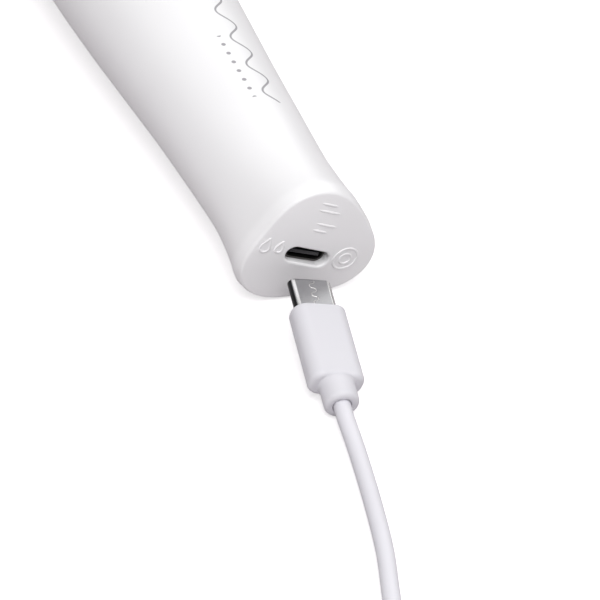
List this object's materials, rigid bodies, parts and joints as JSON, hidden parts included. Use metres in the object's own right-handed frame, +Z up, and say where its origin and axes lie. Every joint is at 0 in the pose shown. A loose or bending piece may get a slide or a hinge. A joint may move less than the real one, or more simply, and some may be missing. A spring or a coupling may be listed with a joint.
{
  "type": "handheld wand massager",
  "caption": "Slim rechargeable wand massager with a lobed handle, flexing neck and soft round head, lying beside its USB charging lead.",
  "frame": {"origin": "bottom centre of the wand itself, without its free charging lead, on the table it lies on", "axes": "+Y along the wand from its base to its head, +Z up, +X to the right seen from the base"},
  "size_m": [0.0659, 0.434, 0.0458],
  "materials": {
    "shell_white": "satin moulded shell",
    "silicone_white": "soft matt silicone",
    "button_grey": "matt silicone button",
    "chrome_trim": "polished ring",
    "inner_plastic": "moulded inner part",
    "clear_window": "frosted clear window",
    "steel": "plated steel",
    "black_plastic": "moulded black",
    "circuit_board": "green solder mask",
    "cell_wrap": "printed-free shrink wrap on a metal can",
    "wire_red": "insulated wire",
    "wire_black": "insulated wire",
    "brass_weight": "turned weight",
    "plug_metal": "polished nickel plate",
    "grip_white": "soft moulded grip",
    "cord_white": "smooth cord jacket",
    "tie_grey": "soft strap"
  },
  "bodies": {
    "handle": {"handle_shell": "shell_white", "neck_collar": "chrome_trim", "neck_socket": "inner_plastic", "neck_sleeve": "silicone_white", "led_window": "clear_window", "status_led": "clear_window", "usb_c_socket": "steel", "usb_c_tongue": "black_plastic", "charge_board": "circuit_board", "charge_chip": "black_plastic", "charge_board_screw_1": "steel", "charge_board_screw_2": "steel", "chassis_front": "inner_plastic", "chassis_rear": "inner_plastic", "battery_cell": "cell_wrap", "battery_tab_positive": "steel", "battery_tab_negative": "steel", "control_board": "circuit_board", "board_bracket": "inner_plastic", "board_screw_1": "steel", "board_screw_2": "steel", "power_switch": "black_plastic", "plus_switch": "black_plastic", "minus_switch": "black_plastic", "charge_lead_red": "wire_red", "charge_lead_black": "wire_black", "motor_lead_red_handle": "wire_red", "motor_lead_black_handle": "wire_black"},
    "head": {"neck_ball": "inner_plastic", "head_skin": "silicone_white", "head_core_upper": "inner_plastic", "head_core_lower": "inner_plastic", "motor_can": "steel", "motor_end_cap": "black_plastic", "motor_clamp": "inner_plastic", "clamp_screw_1": "steel", "clamp_screw_2": "steel", "motor_lead_red_head": "wire_red", "motor_lead_black_head": "wire_black"},
    "rotor": {"motor_shaft": "steel", "off_centre_weight": "brass_weight"},
    "power_button": {"power_button": "button_grey"},
    "plus_button": {"plus_button": "button_grey"},
    "minus_button": {"minus_button": "button_grey"},
    "charging_lead": {"plug_shell": "plug_metal", "plug_insert": "black_plastic", "plug_grip": "grip_white", "plug_collar": "grip_white", "charging_cord": "cord_white", "cord_coil": "cord_white", "coil_tie": "tie_grey", "charging_cord_end": "cord_white", "usb_a_grip": "grip_white", "usb_a_shell": "plug_metal", "usb_a_insert": "black_plastic"}
  },
  "joints": [
    {"name": "neck_bend", "type": "hinge", "parent": "handle", "child": "head", "pos_m": [0, 0.04613, 0.02057], "axis": [1, 0, 0], "range_deg": [-15, 15], "stiffness_Nm_per_rad": 1.6, "deforming": ["neck_sleeve"]},
    {"name": "motor_spin", "type": "hinge", "parent": "head", "child": "rotor", "pos_m": [0, 0.10406, 0.02351], "axis": [0, 0.9987, 0.0506], "continuous": true},
    {"name": "power_button_press", "type": "slide", "parent": "handle", "child": "power_button", "axis": [-0.3907, 0.0466, -0.9193], "range_m": [0, 0.0008], "stiffness_N_per_m": 1200, "springref_m": -0.0004},
    {"name": "plus_button_press", "type": "slide", "parent": "handle", "child": "plus_button", "axis": [-0.3907, 0.0466, -0.9193], "range_m": [0, 0.0008], "stiffness_N_per_m": 1200, "springref_m": -0.0004},
    {"name": "minus_button_press", "type": "slide", "parent": "handle", "child": "minus_button", "axis": [-0.3907, 0.0466, -0.9193], "range_m": [0, 0.0008], "stiffness_N_per_m": 1200, "springref_m": -0.0004},
    {"name": "lead_draw", "type": "slide", "parent": "handle", "child": "charging_lead", "axis": [-0.2079, -0.9781, 0], "range_m": [0, 0.03]}
  ]
}
